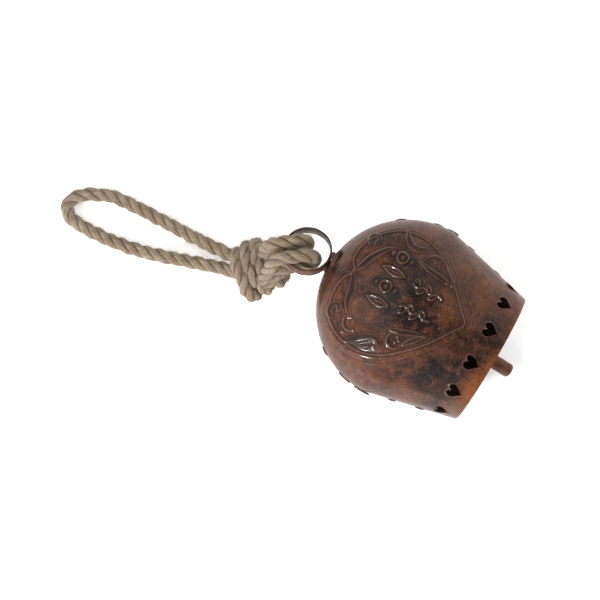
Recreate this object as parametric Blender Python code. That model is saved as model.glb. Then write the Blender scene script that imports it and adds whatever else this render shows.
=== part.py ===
"""Yard dinner bell with a ring, a rod clapper and a rope lanyard.

The bell lies on its back: its long axis runs along X with the crown toward -X and the mouth toward +X,
and its decorated front faces +Z. The floor is Z = 0. Heights along the bell are counted from its mouth.
All lengths are in metres.
"""

import math

import bmesh
import bpy
from mathutils import Matrix, Vector
from mathutils.geometry import interpolate_bezier

CLEARANCE = 0.0003          # gap between pieces that touch

# bell body: straight flaring sides up to the belly, then a domed crown
MOUTH_X = 0.0852
MOUTH_HALF_WIDTH = 0.0566
BELLY_HALF_WIDTH = 0.0752
BELLY_HEIGHT = 0.0779
CROWN_RISE = 0.0754
HALF_DEPTH = 0.0500
SHEET = 0.0012
SEAM_Z = HALF_DEPTH
CROWN_HEIGHT = BELLY_HEIGHT + CROWN_RISE
SIDE_ROWS = 4
CROWN_ROWS = 12
SHELL_COLUMNS = 24

# heart-shaped openings in a row round the mouth
HEART_HEIGHT = 0.0142
HEART_WIDE = 0.0126
HEART_LONG = 0.0130
HEART_ANGLES = [math.radians(a) for a in (-72.5, -42.5, -14.5, 14.5, 42.5, 72.5)]
HEART_POINTS = 20

# ring: a flat steel band, leaning to one side and drooping away from the crown
RING_RADIUS = 0.0204
RING_THICK = 0.0016
RING_WIDE = 0.0090
RING_LEAN = math.radians(17)
RING_DROOP = math.radians(11)
RING_SIDE = 0.0028
ROPE_SIDE = math.radians(37)  # where on the ring the rope turns, from its far side toward -Y
RING_SEGMENTS = 48

# clapper
CLAPPER_SIDE = 0.0035       # the clapper hangs a little to one side
WIRE_RADIUS = 0.0015
STAPLE_BAR_HEIGHT = 0.1380
STAPLE_HALF_SPAN = 0.0090
LINK_BEND = 0.0055          # centre-line radius of the link's round ends
LINK_PIVOT_HEIGHT = 0.1200
EYE_RADIUS = 0.0060
EYE_WIRE = 0.0020
ROD_RADIUS = 0.0060
ROD_LENGTH = 0.1500         # from the link's wire to the rod's end
ROD_TILT = math.radians(17.4)

# rope
ROPE_RADIUS = 0.0055
KNOT_CENTRE = Vector((-0.1195, -0.0285, 0.0176))
KNOT_SEMI = Vector((0.0200, 0.0250, 0.0175))     # along its axis, across, upright
KNOT_AXIS_ANGLE = math.radians(61)
BEND = 0.0112               # centre-line radius of the rope's turns round the ring's band

LOOP_ROUTE = [
    (-0.1340, -0.0288, 0.0120), (-0.1440, -0.0300, 0.0075), (-0.1530, -0.0306, 0.0058),
    (-0.1660, -0.0318, 0.0056), (-0.1910, -0.0332, 0.0056), (-0.2190, -0.0341, 0.0056),
    (-0.2437, -0.0357, 0.0056), (-0.2560, -0.0371, 0.0056), (-0.2662, -0.0410, 0.0056),
    (-0.2762, -0.0466, 0.0056), (-0.2834, -0.0535, 0.0056), (-0.2860, -0.0608, 0.0056),
    (-0.2842, -0.0666, 0.0056), (-0.2794, -0.0701, 0.0056), (-0.2730, -0.0716, 0.0056),
    (-0.2640, -0.0722, 0.0056), (-0.2548, -0.0718, 0.0056), (-0.2318, -0.0693, 0.0056),
    (-0.2062, -0.0636, 0.0056), (-0.1821, -0.0556, 0.0056), (-0.1699, -0.0514, 0.0056),
    (-0.1575, -0.0471, 0.0056), (-0.1466, -0.0437, 0.0060), (-0.1380, -0.0415, 0.0080),
    (-0.1290, -0.0400, 0.0115),
]

SEAM_BEADS = {                # height of each bead's middle and its half-length
    "left": [(0.030, 0.0045), (0.053, 0.0040), (0.078, 0.0075), (0.0955, 0.0065), (0.120, 0.0050)],
    "right": [(0.030, 0.0045), (0.058, 0.0045), (0.078, 0.0055), (0.0915, 0.0045), (0.120, 0.0050)],
}


# ---------------------------------------------------------------- helpers

def clear_scene():
    for item in list(bpy.data.objects):
        bpy.data.objects.remove(item, do_unlink=True)


def make_material(name, colour, roughness, metallic):
    material = bpy.data.materials.new(name)
    material.use_nodes = True
    shader = material.node_tree.nodes["Principled BSDF"]
    shader.inputs["Base Color"].default_value = (*colour, 1.0)
    shader.inputs["Roughness"].default_value = roughness
    shader.inputs["Metallic"].default_value = metallic
    return material


def add_mesh(name, bm, material, origin=(0, 0, 0), sharp=30):
    """Make a smooth-shaded object of bm, which is in world space, with its origin at origin."""
    origin = Vector(origin)
    bmesh.ops.translate(bm, verts=bm.verts, vec=-origin)
    bmesh.ops.recalc_face_normals(bm, faces=bm.faces)
    mesh = bpy.data.meshes.new(name)
    bm.to_mesh(mesh)
    bm.free()
    mesh.materials.append(material)
    mesh.shade_smooth()
    mesh.set_sharp_from_angle(angle=math.radians(sharp))
    item = bpy.data.objects.new(name, mesh)
    item.location = origin
    bpy.context.scene.collection.objects.link(item)
    return item


def add_cutter(name, bm):
    cutter = add_mesh(name, bm, bpy.data.materials["cutter"])
    cutter.hide_render = True
    cutter.display_type = "WIRE"
    return cutter


def boolean(item, other, operation):
    modifier = item.modifiers.new(operation.lower() + "_" + other.name, "BOOLEAN")
    modifier.operation = operation
    modifier.solver = "EXACT"
    modifier.object = other


def smooth_route(points, spacing):
    """Points about `spacing` apart on a smooth curve through the route's own points."""
    points = [Vector(p) for p in points]
    ends = [2 * points[0] - points[1], *points, 2 * points[-1] - points[-2]]
    fine = [points[0]]
    for before, start, end, after in zip(ends, ends[1:], ends[2:], ends[3:]):
        reach = (end - start).length / 3
        first = start + (end - before).normalized() * reach
        second = end - (after - start).normalized() * reach
        fine += interpolate_bezier(start, first, second, end, 12)[1:]
    total = sum((b - a).length for a, b in zip(fine, fine[1:]))
    count = max(3, round(total / spacing))
    out, walked, wanted = [fine[0]], 0.0, total / count
    for a, b in zip(fine, fine[1:]):
        step = (b - a).length
        while walked + step >= wanted - 1e-9 and len(out) < count:
            out.append(a.lerp(b, (wanted - walked) / step))
            wanted += total / count
        walked += step
    out.append(fine[-1])
    return out


def sweep(path, radius, sides=8, closed=False):
    """A round wire along path, as a bmesh with flat ends or closed into a ring."""
    bm = bmesh.new()
    count = len(path)
    rings, side = [], None
    for i, point in enumerate(path):
        after = path[(i + 1) % count] if closed or i + 1 < count else point
        before = path[i - 1] if closed or i else point
        along = (after - before).normalized()
        if side is None:
            side = along.orthogonal().normalized()
        side = (side - along * side.dot(along)).normalized()
        other = along.cross(side)
        rings.append([
            bm.verts.new(point + radius * (math.cos(a) * side + math.sin(a) * other))
            for a in (2 * math.pi * k / sides for k in range(sides))
        ])
    pairs = list(zip(rings, rings[1:])) + ([(rings[-1], rings[0])] if closed else [])
    for low, high in pairs:
        for k in range(sides):
            bm.faces.new((low[k], low[(k + 1) % sides], high[(k + 1) % sides], high[k]))
    if not closed:
        bm.faces.new(rings[0][::-1])
        bm.faces.new(rings[-1])
    return bm


def ellipsoid(centre, semi, frame=Matrix.Identity(3), columns=16, rows=8, power=1.0):
    """A closed egg with its own axes; a power under 1 makes it fuller."""
    def full(value):
        return math.copysign(abs(value) ** power, value)

    bm = bmesh.new()
    poles, rings = [], []
    for row in range(rows + 1):
        polar = math.pi * row / rows
        ring = []
        for column in range(1 if row in (0, rows) else columns):
            turn = 2 * math.pi * column / columns
            local = Vector((
                semi[0] * full(math.cos(polar)),
                semi[1] * full(math.sin(polar)) * full(math.cos(turn)),
                semi[2] * full(math.sin(polar)) * full(math.sin(turn)),
            ))
            ring.append(bm.verts.new(Vector(centre) + frame @ local))
        (poles if len(ring) == 1 else rings).append(ring)
    for low, high in zip(rings, rings[1:]):
        for k in range(columns):
            bm.faces.new((low[k], low[(k + 1) % columns], high[(k + 1) % columns], high[k]))
    for pole, ring in zip(poles, (rings[0], rings[-1])):
        for k in range(columns):
            bm.faces.new((pole[0], ring[k], ring[(k + 1) % columns]))
    return bm


# ---------------------------------------------------------------- bell shape

def stations(inset):
    """(height, half width, half depth) from mouth to apex of the bell's skin, set in by inset."""
    low = [
        (BELLY_HEIGHT * i / SIDE_ROWS,
         MOUTH_HALF_WIDTH + (BELLY_HALF_WIDTH - MOUTH_HALF_WIDTH) * i / SIDE_ROWS - inset,
         HALF_DEPTH - inset)
        for i in range(SIDE_ROWS)
    ]
    turns = [math.pi / 2 * i / CROWN_ROWS for i in range(CROWN_ROWS + 1)]
    high = [
        (BELLY_HEIGHT + (CROWN_RISE - inset) * math.sin(t),
         (BELLY_HALF_WIDTH - inset) * math.cos(t),
         (HALF_DEPTH - inset) * math.cos(t))
        for t in turns
    ]
    return low + high


def skin_point(height, width, depth, angle, lift=0.0):
    """A point of an oval section; angle 0 is the front's middle and lift moves it off the seam plane."""
    up = math.copysign(1, math.cos(angle)) if abs(math.cos(angle)) > 1e-9 else 1
    return Vector((MOUTH_X - height, width * math.sin(angle), SEAM_Z + depth * math.cos(angle) + up * lift))


def surface_frame(angle, height):
    """Point and axes (round the bell, up the bell, outward) on the straight side's skin."""
    width = MOUTH_HALF_WIDTH + (BELLY_HALF_WIDTH - MOUTH_HALF_WIDTH) * height / BELLY_HEIGHT
    point = skin_point(height, width, HALF_DEPTH, angle)
    around = Vector((0, width * math.cos(angle), -HALF_DEPTH * math.sin(angle))).normalized()
    slope = (BELLY_HALF_WIDTH - MOUTH_HALF_WIDTH) / BELLY_HEIGHT
    rise = Vector((-1, slope * math.sin(angle), 0)).normalized()
    rise = (rise - around * rise.dot(around)).normalized()
    outward = Vector((0, math.sin(angle) / width, math.cos(angle) / HALF_DEPTH))
    outward = (outward - rise * outward.dot(rise)).normalized()
    return point, around, rise, outward


def half_shell(bm, front):
    """One pressed half: outer and inner skins, joined along the seam edges and the mouth."""
    sign = 1 if front else -1
    lift = sign * CLEARANCE / 2
    layers = []
    for inset in (0.0, SHEET):
        rows = []
        for height, width, depth in stations(inset):
            if width < 1e-6:
                rows.append([bm.verts.new((MOUTH_X - height, 0, SEAM_Z + lift))])
                continue
            row = []
            for column in range(SHELL_COLUMNS + 1):
                angle = math.pi * (column / SHELL_COLUMNS - 0.5)
                side = width * math.sin(angle)
                up = lift + sign * (depth - CLEARANCE / 2) * math.cos(angle)
                row.append(bm.verts.new((MOUTH_X - height, side, SEAM_Z + up)))
            rows.append(row)
        layers.append(rows)
    for rows in layers:
        for low, high in zip(rows, rows[1:]):
            for k in range(SHELL_COLUMNS):
                corners = [low[k], low[k + 1], *((high[k + 1], high[k]) if len(high) > 1 else (high[0],))]
                bm.faces.new(corners)
    outer, inner = layers
    for edge in (0, -1):
        for i in range(len(outer) - 1):
            bm.faces.new((outer[i][edge], outer[i + 1][edge], inner[i + 1][edge], inner[i][edge]))
    for k in range(SHELL_COLUMNS):
        bm.faces.new((outer[0][k], outer[0][k + 1], inner[0][k + 1], inner[0][k]))


def bell_solid(grow):
    """The bell's whole outer form, closed at the mouth and grown outward."""
    bm = bmesh.new()
    count = 2 * SHELL_COLUMNS
    rows = []
    for height, width, depth in stations(-grow):
        if width < 1e-6:
            rows.append([bm.verts.new((MOUTH_X - height, 0, SEAM_Z))])
            continue
        rows.append([
            bm.verts.new(skin_point(height, width, depth, 2 * math.pi * k / count)) for k in range(count)
        ])
    for low, high in zip(rows, rows[1:]):
        for k in range(count):
            corners = [low[k], low[(k + 1) % count]]
            corners += (high[(k + 1) % count], high[k]) if len(high) > 1 else (high[0],)
            bm.faces.new(corners)
    bm.faces.new(rows[0][::-1])
    return bm


def heart_prism(angle):
    """A heart-shaped punch through the front's wall, its point toward the mouth."""
    point, around, rise, outward = surface_frame(angle, HEART_HEIGHT)
    reach = 4 * SHEET
    bm = bmesh.new()
    outline = []
    for k in range(HEART_POINTS):
        t = 2 * math.pi * k / HEART_POINTS
        across = math.sin(t) ** 3
        along = (13 * math.cos(t) - 5 * math.cos(2 * t) - 2 * math.cos(3 * t) - math.cos(4 * t) + 2.5) / 29
        outline.append(point + around * across * HEART_WIDE / 2 + rise * along * HEART_LONG)
    face = bm.faces.new([bm.verts.new(p - outward * reach) for p in outline])
    grown = bmesh.ops.extrude_face_region(bm, geom=[face])
    moved = [v for v in grown["geom"] if isinstance(v, bmesh.types.BMVert)]
    bmesh.ops.translate(bm, verts=moved, vec=outward * 2 * reach)
    return bm


def make_shells(material):
    for name, front in (("front_shell", True), ("back_shell", False)):
        bm = bmesh.new()
        half_shell(bm, front)
        shell = add_mesh(name, bm, material)
        for number, angle in enumerate(HEART_ANGLES if front else [], 1):
            boolean(shell, add_cutter(f"heart_{number}", heart_prism(angle)), "DIFFERENCE")


def make_seam_beads(material, bell_cut):
    """Lumps of weld that tie the two pressed halves together along both edges."""
    for side, beads in SEAM_BEADS.items():
        sign = -1 if side == "left" else 1
        for number, (height, half_length) in enumerate(beads, 1):
            if height <= BELLY_HEIGHT:
                slope = (BELLY_HALF_WIDTH - MOUTH_HALF_WIDTH) / BELLY_HEIGHT
                width = MOUTH_HALF_WIDTH + slope * height
                along = Vector((-1, sign * slope, 0)).normalized()
            else:
                turn = math.asin((height - BELLY_HEIGHT) / CROWN_RISE)
                width = BELLY_HALF_WIDTH * math.cos(turn)
                along = Vector((-CROWN_RISE * math.cos(turn), -sign * BELLY_HALF_WIDTH * math.sin(turn), 0))
                along.normalize()
            up = Vector((0, 0, 1))
            frame = Matrix((along, up.cross(along), up)).transposed()
            centre = (MOUTH_X - height, sign * width, SEAM_Z)
            bead = ellipsoid(centre, (half_length, 0.0012, 0.0022), frame, 12, 8)
            boolean(add_mesh(f"seam_weld_{side}_{number}", bead, material), bell_cut, "DIFFERENCE")


# ---------------------------------------------------------------- ring and its weld

def ring_frame():
    """The ring's axes: toward the crown, along the ring's other diameter, and its own axis."""
    turn = Matrix.Rotation(-RING_DROOP, 3, "Y") @ Matrix.Rotation(-RING_LEAN, 3, "X")
    axis = turn @ Vector((0, 0, 1))
    toward = Vector((1, 0, 0))
    toward = (toward - axis * toward.dot(axis)).normalized()
    return Matrix((toward, axis.cross(toward), axis)).transposed()


def ring_centre():
    toward = ring_frame().col[0]
    touch = Vector((MOUTH_X - CROWN_HEIGHT - 0.0004, RING_SIDE, SEAM_Z))
    return touch - toward * RING_RADIUS


def band():
    """The ring's flat band."""
    frame, centre = ring_frame(), ring_centre()
    bm = bmesh.new()
    loops = []
    inner, half = RING_RADIUS - RING_THICK, RING_WIDE / 2
    for k in range(RING_SEGMENTS):
        turn = 2 * math.pi * k / RING_SEGMENTS
        loops.append([
            bm.verts.new(centre + frame @ Vector((r * math.cos(turn), r * math.sin(turn), h)))
            for r, h in ((inner, -half), (RING_RADIUS, -half), (RING_RADIUS, half), (inner, half))
        ])
    for low, high in zip(loops, loops[1:] + loops[:1]):
        for k in range(4):
            bm.faces.new((low[k], low[(k + 1) % 4], high[(k + 1) % 4], high[k]))
    return bm


def make_ring(steel, weld, bell_cut):
    add_mesh("hanger_ring", band(), steel)
    disc = [(-RING_WIDE, RING_RADIUS + CLEARANCE), (RING_WIDE, RING_RADIUS + CLEARANCE)]
    ring_cut = add_cutter("ring_cutter", lathe(disc, ring_centre(), ring_frame().col[2], RING_SEGMENTS))
    for side, sign in (("left", -1), ("right", 1)):
        centre = (MOUTH_X - CROWN_HEIGHT - 0.0006, RING_SIDE + sign * 0.0058, SEAM_Z)
        lump = add_mesh(f"ring_weld_{side}", ellipsoid(centre, (0.0030, 0.0034, 0.0042)), weld)
        boolean(lump, bell_cut, "DIFFERENCE")
        boolean(lump, ring_cut, "DIFFERENCE")


# ---------------------------------------------------------------- clapper

def arc(centre, first, second, radius, start, end, steps):
    """Points on an arc in the plane of two unit vectors, angles in degrees from the first."""
    turns = [math.radians(start + (end - start) * i / steps) for i in range(steps + 1)]
    return [centre + radius * (math.cos(t) * first + math.sin(t) * second) for t in turns]


def make_staple(steel, weld, bell_cut):
    """A bent wire welded inside the crown, its bar along Z, and its end clinched over the crown."""
    x_up, z_up = Vector((-1, 0, 0)), Vector((0, 0, 1))
    corner = 0.0035
    bar = Vector((MOUTH_X - STAPLE_BAR_HEIGHT, CLAPPER_SIDE, SEAM_Z))
    leg_top = BELLY_HEIGHT + (CROWN_RISE - SHEET) * math.sqrt(1 - (STAPLE_HALF_SPAN / (HALF_DEPTH - SHEET)) ** 2)
    leg_length = leg_top - STAPLE_BAR_HEIGHT - 0.0010
    path = [bar + x_up * leg_length + z_up * STAPLE_HALF_SPAN]
    path += arc(bar + x_up * corner + z_up * (STAPLE_HALF_SPAN - corner), z_up, -x_up, corner, 0, 90, 4)
    path += arc(bar + x_up * corner - z_up * (STAPLE_HALF_SPAN - corner), -x_up, -z_up, corner, 0, 90, 4)
    path += [bar + x_up * leg_length - z_up * STAPLE_HALF_SPAN]
    add_mesh("clapper_staple", sweep(path, WIRE_RADIUS, 10), steel)
    collar, bulk = 0.0030, 0.0011
    for name, sign in (("staple_weld_front", 1), ("staple_weld_back", -1)):
        seat = bar + x_up * (leg_length - 0.0016) + z_up * sign * STAPLE_HALF_SPAN
        ring = arc(seat, Vector((0, 1, 0)), z_up, collar, 0, 360, 16)[:-1]
        add_mesh(name, sweep(ring, bulk, 8, closed=True), weld)
    # clinched end: a thumbnail of flattened wire lying on the front of the crown
    lying = 0.3
    centre = skin_point(BELLY_HEIGHT + CROWN_RISE * math.cos(lying), 0, HALF_DEPTH * math.sin(lying), 0)
    centre.y = 0.0065
    tab = add_mesh("staple_tab", ellipsoid(centre, (0.0028, 0.0078, 0.0036), columns=20, rows=10), steel)
    boolean(tab, bell_cut, "DIFFERENCE")


def make_link(steel):
    """An oval wire link that hangs on the staple and carries the clapper's eye."""
    x_up, y_up = Vector((-1, 0, 0)), Vector((0, 1, 0))
    top_height = STAPLE_BAR_HEIGHT + 2 * WIRE_RADIUS + CLEARANCE
    top = Vector((MOUTH_X - top_height + LINK_BEND, CLAPPER_SIDE, SEAM_Z))
    low = Vector((MOUTH_X - LINK_PIVOT_HEIGHT - LINK_BEND, CLAPPER_SIDE, SEAM_Z))
    path = arc(top, y_up, x_up, LINK_BEND, 0, 180, 8) + arc(low, -y_up, -x_up, LINK_BEND, 0, 180, 8)
    origin = (MOUTH_X - STAPLE_BAR_HEIGHT, CLAPPER_SIDE, SEAM_Z)
    add_mesh("clapper_link", sweep(path, WIRE_RADIUS, 10, closed=True), steel, origin)


def lathe(profile, centre, axis, sides):
    """Turn (distance along the axis, radius) pairs about the axis into a closed solid."""
    side = axis.orthogonal().normalized()
    other = axis.cross(side)
    bm = bmesh.new()
    rings = [[
        bm.verts.new(centre + axis * s + r * (math.cos(a) * side + math.sin(a) * other))
        for a in (2 * math.pi * k / sides for k in range(sides))
    ] for s, r in profile]
    for low, high in zip(rings, rings[1:]):
        for k in range(sides):
            bm.faces.new((low[k], low[(k + 1) % sides], high[(k + 1) % sides], high[k]))
    bm.faces.new(rings[0][::-1])
    bm.faces.new(rings[-1])
    return bm


def make_rod(steel):
    """The clapper: a round rod with an eye, resting with its end on the floor."""
    pivot = Vector((MOUTH_X - LINK_PIVOT_HEIGHT, CLAPPER_SIDE, SEAM_Z))
    along = Vector((math.cos(ROD_TILT), 0, -math.sin(ROD_TILT)))
    across = Vector((math.sin(ROD_TILT), 0, math.cos(ROD_TILT)))
    eye_centre = pivot + along * (EYE_RADIUS - EYE_WIRE - WIRE_RADIUS - CLEARANCE)
    ring = arc(eye_centre, along, across, EYE_RADIUS, 0, 360, 20)[:-1]
    eye = add_cutter("rod_eye", sweep(ring, EYE_WIRE, 8, closed=True))
    neck = EYE_RADIUS + (eye_centre - pivot).length
    rim = 0.0022
    profile = [(neck - 0.0010, 0.0018), (neck + 0.0015, 0.0030), (neck + 0.0045, ROD_RADIUS - 0.0012),
               (neck + 0.0065, ROD_RADIUS), (ROD_LENGTH - rim, ROD_RADIUS)]
    profile += [(ROD_LENGTH - rim + rim * math.sin(t), ROD_RADIUS - rim + rim * math.cos(t))
                for t in (math.radians(a) for a in (30, 60, 90))]
    rod = add_mesh("clapper_rod", lathe(profile, pivot, along, 24), steel, pivot)
    boolean(rod, eye, "UNION")


# ---------------------------------------------------------------- rope lanyard

def hinge():
    """The rope's turning point on the ring, with axes: to the ring's middle, along the band, ring axis."""
    frame = ring_frame()
    axis = frame.col[2]
    left = Vector((-math.cos(ROPE_SIDE), -math.sin(ROPE_SIDE), 0))
    left = (left - axis * left.dot(axis)).normalized()
    point = ring_centre() + left * (RING_RADIUS - RING_THICK / 2)
    return point, Matrix((-left, axis.cross(-left), axis)).transposed()


def bight_route(reach, side_ring, side_top, side_low):
    """Over the band, down through the ring and back under it; reach is how far the turn goes past it."""
    top = [(-0.0225, side_top, -0.0180), (-0.0178, side_top, -0.0090), (-0.0146, side_top, -0.0020),
           (-0.0117, 0.6 * side_top + 0.4 * side_ring, 0.0040), (-0.0072, side_ring, 0.0094),
           (-0.0010, side_ring, BEND + 0.0002)]
    turn = [(reach + BEND * math.sin(t), side_ring, BEND * math.cos(t))
            for t in (math.radians(a) for a in (0, 30, 60, 90, 120, 150, 180))]
    low = [(-0.0005, side_ring, -BEND - 0.0009), (-0.0050, 0.5 * (side_ring + side_low), -0.0150),
           (-0.0098, side_low, -0.0195), (-0.0145, side_low, -0.0245), (-0.0190, side_low, -0.0295)]
    point, frame = hinge()
    return [point + frame @ Vector(p) for p in top + turn + low]


BIGHTS = {
    "rope_bight_upper": bight_route(0.0093, 0.0076, 0.0062, 0.0070),
    "rope_bight_lower": bight_route(0.0137, -0.0072, -0.0095, -0.0070),
}


def rope_tube(name, route, spacing, material, pivot):
    """A rope's plain tube, and the slightly fatter one that makes room for its ends in the knot."""
    points = smooth_route(route, spacing)
    curve = bpy.data.curves.new(name, "CURVE")
    curve.dimensions = "3D"
    curve.bevel_depth = ROPE_RADIUS
    curve.bevel_resolution = 2
    curve.use_fill_caps = True
    spline = curve.splines.new("POLY")
    spline.points.add(len(points) - 1)
    for place, point in zip(spline.points, points):
        place.co = (*(point - pivot), 1.0)
    curve.materials.append(material)
    item = bpy.data.objects.new(name, curve)
    item.location = pivot
    bpy.context.scene.collection.objects.link(item)
    stretch = 1.5 * CLEARANCE
    longer = [points[0] + (points[0] - points[1]).normalized() * stretch, *points[1:-1],
              points[-1] + (points[-1] - points[-2]).normalized() * stretch]
    return add_cutter(name + "_room", sweep(longer, ROPE_RADIUS + stretch, 12))


def make_rope(material):
    pivot = hinge()[0]
    rooms = [rope_tube("rope_loop", LOOP_ROUTE, 0.009, material, pivot)]
    for name, route in BIGHTS.items():
        rooms.append(rope_tube(name, route, 0.006, material, pivot))
    frame = Matrix.Rotation(KNOT_AXIS_ANGLE, 3, "Z")
    knot = add_mesh("rope_knot", ellipsoid(KNOT_CENTRE, KNOT_SEMI, frame, 24, 14, 0.85), material, pivot)
    for room in rooms:
        boolean(knot, room, "DIFFERENCE")


def main():
    clear_scene()
    make_material("cutter", (0.5, 0.5, 0.5), 0.5, 0.0)
    rust = make_material("rusty_sheet", (0.16, 0.07, 0.045), 0.42, 0.6)
    weld = make_material("weld_metal", (0.20, 0.10, 0.05), 0.6, 0.4)
    steel = make_material("dark_steel", (0.14, 0.11, 0.09), 0.5, 0.6)
    jute = make_material("jute_rope", (0.52, 0.42, 0.29), 0.95, 0.0)
    bell_cut = add_cutter("bell_cutter", bell_solid(CLEARANCE))
    make_shells(rust)
    make_seam_beads(weld, bell_cut)
    make_ring(steel, weld, bell_cut)
    make_staple(steel, weld, bell_cut)
    make_link(steel)
    make_rod(steel)
    make_rope(jute)


main()
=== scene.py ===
"""Looks of the yard dinner bell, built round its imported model.

The bell lies on its back: +X from crown to mouth, +Z out of the decorated front. Heights on the bell
are counted from its mouth. All lengths are in metres unless a name ends in _MM.
"""

import math

import bmesh
import bpy
import numpy as np
from mathutils import Matrix, Vector
from mathutils.geometry import interpolate_bezier


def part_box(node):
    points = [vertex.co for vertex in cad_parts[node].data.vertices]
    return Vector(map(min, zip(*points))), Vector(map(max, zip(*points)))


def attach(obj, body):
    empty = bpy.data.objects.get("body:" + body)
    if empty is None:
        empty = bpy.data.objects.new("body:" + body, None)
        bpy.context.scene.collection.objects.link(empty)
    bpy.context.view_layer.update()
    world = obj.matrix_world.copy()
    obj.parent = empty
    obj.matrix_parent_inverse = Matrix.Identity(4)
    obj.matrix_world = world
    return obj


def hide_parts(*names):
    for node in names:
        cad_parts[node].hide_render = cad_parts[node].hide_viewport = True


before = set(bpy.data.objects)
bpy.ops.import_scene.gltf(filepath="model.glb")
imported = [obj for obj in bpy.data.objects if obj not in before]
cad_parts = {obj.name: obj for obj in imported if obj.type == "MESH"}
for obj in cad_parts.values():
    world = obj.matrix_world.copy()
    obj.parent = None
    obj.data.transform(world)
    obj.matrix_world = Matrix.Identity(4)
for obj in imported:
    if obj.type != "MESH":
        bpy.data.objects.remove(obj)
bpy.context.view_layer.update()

bl_info = {
    "name": "Yard Dinner Bell",
    "version": (1, 0, 0),
    "blender": (4, 5, 0),
    "location": "View3D > Sidebar > Dinner Bell",
    "description": "Builds a rusty sheet-metal dinner bell with its ring, clapper and rope",
    "category": "Object",
}

MM = 0.001
CLEARANCE = 0.0003

# bell
MOUTH_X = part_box("front_shell")[1].x
SEAM_Z = 0.0500
MOUTH_HALF_WIDTH = 0.0566
BELLY_HALF_WIDTH = 0.0752
BELLY_HEIGHT = 0.0779
CROWN_RISE = 0.0754
HALF_DEPTH = 0.0500
CROWN_HEIGHT = BELLY_HEIGHT + CROWN_RISE
HEART_HEIGHT = 0.0142
HEART_WIDE = 0.0126
HEART_LONG = 0.0130
HEART_ANGLES = [math.radians(a) for a in (-72.5, -42.5, -14.5, 14.5, 42.5, 72.5)]
PUNCH_REACH = 0.005
BURR_HEIGHT = 0.00035
SHARP_EDGE = 50

# ring
RING_RADIUS = 0.0204
RING_THICK = 0.0016
RING_WIDE = 0.0090
RING_LEAN = math.radians(17)
RING_DROOP = math.radians(11)
RING_SIDE = 0.0028
ROPE_SIDE = math.radians(37)
BAND_EDGE = 0.00045
BAND_STEPS = 144

# rope
BEND = 0.0112
ROPE_STEP = 0.0011
FLOOR_GAP = 0.00008
STRAND_OFFSET = 0.38
STRAND_RADIUS = 0.66
FIBRE_THICK = (0.00006, 0.00013)
FIBRE_STEPS = 4
# corners of a fibre's three-sided section, in radians
FIBRE_CORNERS = (0.0, 2.094, 4.189)
# no loose fibres this near the ring's band
RING_BARE = 0.005
KNOT_CENTRE = Vector((-0.1195, -0.0285, 0.0))
KNOT_AXIS_ANGLE = math.radians(61)
HAND_LOOP_MM = [
    (-134, -28.8, 12), (-144, -30, 7.5), (-153, -30.6, 5.8), (-166, -31.8, 5.6), (-191, -33.2, 5.6),
    (-219, -34.1, 5.6), (-243.7, -35.7, 5.6), (-256, -37.1, 5.6), (-266.2, -41, 5.6), (-276.2, -46.6, 5.6),
    (-283.4, -53.5, 5.6), (-286, -60.8, 5.6), (-284.2, -66.6, 5.6), (-279.4, -70.1, 5.6),
    (-273, -71.6, 5.6), (-264, -72.2, 5.6), (-254.8, -71.8, 5.6), (-231.8, -69.3, 5.6),
    (-206.2, -63.6, 5.6), (-182.1, -55.6, 5.6), (-169.9, -51.4, 5.6), (-157.5, -47.1, 5.6),
    (-146.6, -43.7, 6), (-138, -41.5, 8), (-129, -40, 11.5),
]
# the three wraps, in the knot's own axes: along its coil, across it, height over the floor
WRAPS_MM = [
    (-10.0, -6.0, 12.0), (-12.0, 6.0, 9.0), (-9.5, 15.5, 11.5), (-8.0, 18.8, 18.5), (-11.5, 13.5, 25.0),
    (-14.5, 5.5, 28.3), (-15.8, -4.0, 28.0), (-17.8, -12.2, 23.5), (-15.0, -18.6, 15.5),
    (-9.5, -17.0, 8.5), (-6.0, -7.0, 5.7), (-2.5, 5.0, 5.7), (0.0, 14.5, 8.5), (1.5, 19.2, 17.0),
    (-2.0, 15.0, 25.8), (-5.8, 6.5, 29.3), (-7.2, -3.0, 29.3), (-6.0, -12.0, 25.5), (-3.0, -19.2, 16.5),
    (0.5, -17.0, 8.5), (3.0, -6.0, 5.7), (6.5, 6.0, 5.7), (9.0, 14.5, 9.0), (9.6, 17.6, 18.0),
    (6.6, 13.6, 26.5), (2.8, 6.0, 30.0), (1.4, -3.5, 29.5), (3.2, -11.5, 25.5), (9.2, -19.0, 17.0),
    (13.4, -18.6, 12.5), (17.4, -14.6, 9.5), (18.0, -7.0, 8.5),
]


# colours inside the finishes, which a user wouldn't change
RUST_FLECK = (0.235, 0.095, 0.048)
RUST_PIT = (0.014, 0.007, 0.006)
# painted highlight colour for the relief's crests and the burr rims round the hearts
RUST_PAINTED_HIGHLIGHT = (0.230, 0.100, 0.055)
# painted shade colour for the relief's dark lines and recesses
RUST_PAINTED_SHADE = (0.008, 0.005, 0.006)
# inner skin colours: dark rust made near black as painted shade
INNER_SKIN_SHADED = (0.010, 0.006, 0.005), (0.030, 0.013, 0.008)
YARN_WARM = (0.300, 0.190, 0.105)
YARN_PALE = (0.600, 0.530, 0.430)
YARN_DARK = (0.105, 0.066, 0.036)
# painted shade colour for the grooves between the strands
YARN_GROOVE_SHADE = (0.075, 0.046, 0.024)
LOOSE_FIBRE = (0.260, 0.180, 0.105), (0.640, 0.560, 0.450)
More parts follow.
